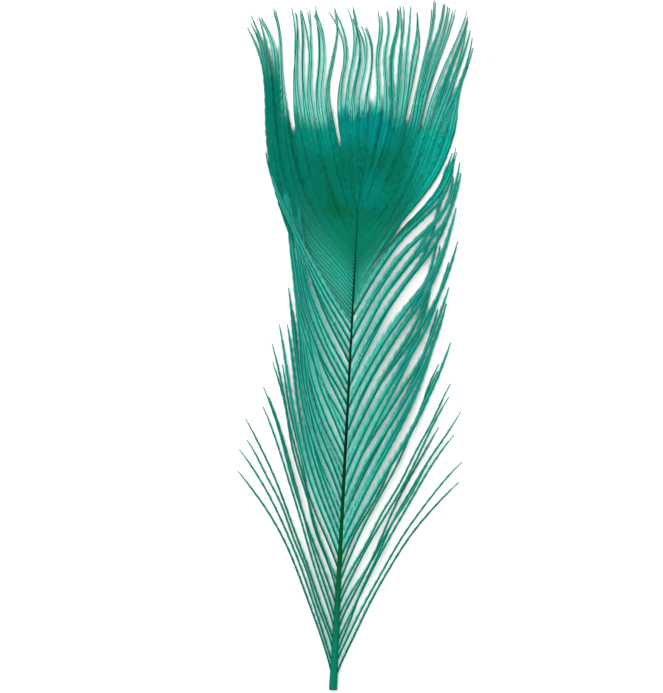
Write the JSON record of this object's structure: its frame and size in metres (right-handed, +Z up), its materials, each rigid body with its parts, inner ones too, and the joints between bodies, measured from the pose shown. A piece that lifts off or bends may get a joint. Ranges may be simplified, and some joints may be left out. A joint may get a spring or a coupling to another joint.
{
  "type": "peacock feather",
  "caption": "Dyed teal peacock eye feather lying face up, with a cut quill, loose herl barbs, an open vane, a round eye and a crown of free barb tips.",
  "frame": {"origin": "middle of the feather's outline, on the surface it lies on, under the shaft", "axes": "+Y along the shaft from the cut quill to the eye, +Z up out of the face of the feather, +X to the right seen from above"},
  "size_m": [0.1004, 0.3005, 0.0063],
  "materials": {
    "shaft": "satin",
    "herl": "matte",
    "vane": "matte",
    "eye": "matte"
  },
  "bodies": {
    "root": {"shaft": "shaft", "herl_left_01": "herl", "herl_left_02": "herl", "herl_left_03": "herl", "herl_left_04": "herl", "herl_left_05": "herl", "herl_left_06": "herl", "herl_left_07": "herl", "herl_left_08": "herl", "herl_left_09": "herl", "herl_left_10": "herl", "herl_right_01": "herl", "herl_right_02": "herl", "herl_right_03": "herl", "herl_right_04": "herl", "herl_right_05": "herl", "herl_right_06": "herl", "herl_right_07": "herl", "herl_right_08": "herl", "herl_right_09": "herl", "herl_right_10": "herl", "lower_vane_left": "vane", "lower_vane_right": "vane", "upper_vane_left": "vane", "upper_vane_right": "vane", "eye_barbs_left": "eye", "eye_barbs_right": "eye"}
  },
  "joints": []
}
